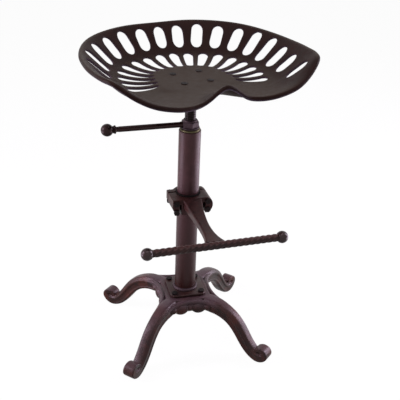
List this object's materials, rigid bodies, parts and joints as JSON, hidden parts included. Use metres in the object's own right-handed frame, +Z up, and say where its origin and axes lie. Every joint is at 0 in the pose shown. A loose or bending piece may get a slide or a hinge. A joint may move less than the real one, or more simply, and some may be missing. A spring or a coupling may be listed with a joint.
{
  "type": "tractor seat stool",
  "caption": "Screw-lift stool with a slotted cast-iron tractor seat, a pipe column with a clamped twisted footrest, a lock lever and a scroll-footed cast base.",
  "frame": {"origin": "floor level, middle of the stool's outline; the column's axis is 16 mm behind it", "axes": "+Z up along the column, -Y towards the seat's open front, X across the seat"},
  "size_m": [0.4746, 0.4393, 0.7067],
  "materials": {
    "seat_iron": "worn brown-black, soft sheen",
    "cast_iron": "dark brown, semi-gloss",
    "clamp_iron": "dark brown, satin",
    "footrest_iron": "dark brown, satin",
    "pipe_paint": "mauve brown, semi-gloss",
    "black_steel": "oiled black, semi-gloss",
    "bolt_steel": "black, satin",
    "pin_steel": "plain steel",
    "brass": "dull olive brass",
    "liner_rubber": "matte"
  },
  "bodies": {
    "base": {"column_tube": "pipe_paint", "column_insert": "brass", "top_ring": "brass", "foot_ring": "pipe_paint", "column_plate": "cast_iron", "plate_bolt_1": "bolt_steel", "plate_bolt_2": "bolt_steel", "plate_bolt_3": "bolt_steel", "plate_bolt_4": "bolt_steel", "base_hub": "cast_iron", "leg_1": "cast_iron", "leg_2": "cast_iron", "leg_3": "cast_iron", "leg_4": "cast_iron", "swag_1": "cast_iron", "swag_2": "cast_iron", "swag_3": "cast_iron", "swag_4": "cast_iron"},
    "guide": {"screw_guide": "brass"},
    "seat": {"seat_pan": "seat_iron", "seat_flange": "cast_iron", "seat_bolt_1": "bolt_steel", "seat_bolt_2": "bolt_steel", "seat_bolt_3": "bolt_steel", "seat_bolt_4": "bolt_steel", "seat_nut_1": "bolt_steel", "seat_nut_2": "bolt_steel", "seat_nut_3": "bolt_steel", "seat_nut_4": "bolt_steel", "lift_screw": "black_steel", "screw_pin": "pin_steel", "screw_end_nut": "black_steel"},
    "lever": {"lock_nut": "black_steel", "lever_rod": "black_steel", "lever_collar": "black_steel", "lever_ball": "black_steel"},
    "liner": {"clamp_liner": "liner_rubber"},
    "footrest": {"clamp_front_with_arm": "clamp_iron", "clamp_rear": "clamp_iron", "clamp_bolt_1": "bolt_steel", "clamp_bolt_2": "bolt_steel", "clamp_bolt_3": "bolt_steel", "clamp_bolt_4": "bolt_steel", "clamp_nut_1": "bolt_steel", "clamp_nut_2": "bolt_steel", "clamp_nut_3": "bolt_steel", "clamp_nut_4": "bolt_steel", "footrest_bar": "footrest_iron", "footrest_knob_left": "footrest_iron", "footrest_knob_right": "footrest_iron"}
  },
  "joints": [
    {"name": "seat_height", "type": "slide", "parent": "base", "child": "guide", "axis": [0, 0, 1], "range_m": [-0.0401, 0.1401]},
    {"name": "seat_turn", "type": "hinge", "parent": "guide", "child": "seat", "pos_m": [0, 0.016, 0.643], "axis": [0, 0, 1], "range_deg": [-2880, 10080]},
    {"name": "lock_lever", "type": "hinge", "parent": "base", "child": "lever", "pos_m": [0, 0.016, 0.5385], "axis": [0, 0, 1], "range_deg": [0, 90]},
    {"name": "footrest_height", "type": "slide", "parent": "base", "child": "liner", "axis": [0, 0, 1], "range_m": [-0.14, 0.12]},
    {"name": "footrest_turn", "type": "hinge", "parent": "liner", "child": "footrest", "pos_m": [0, 0.016, 0.357], "axis": [0, 0, 1], "continuous": true}
  ],
  "couplings": [
    {"joint": "seat_height", "follows": "seat_turn", "m_per_rad": 0.00079577}
  ]
}
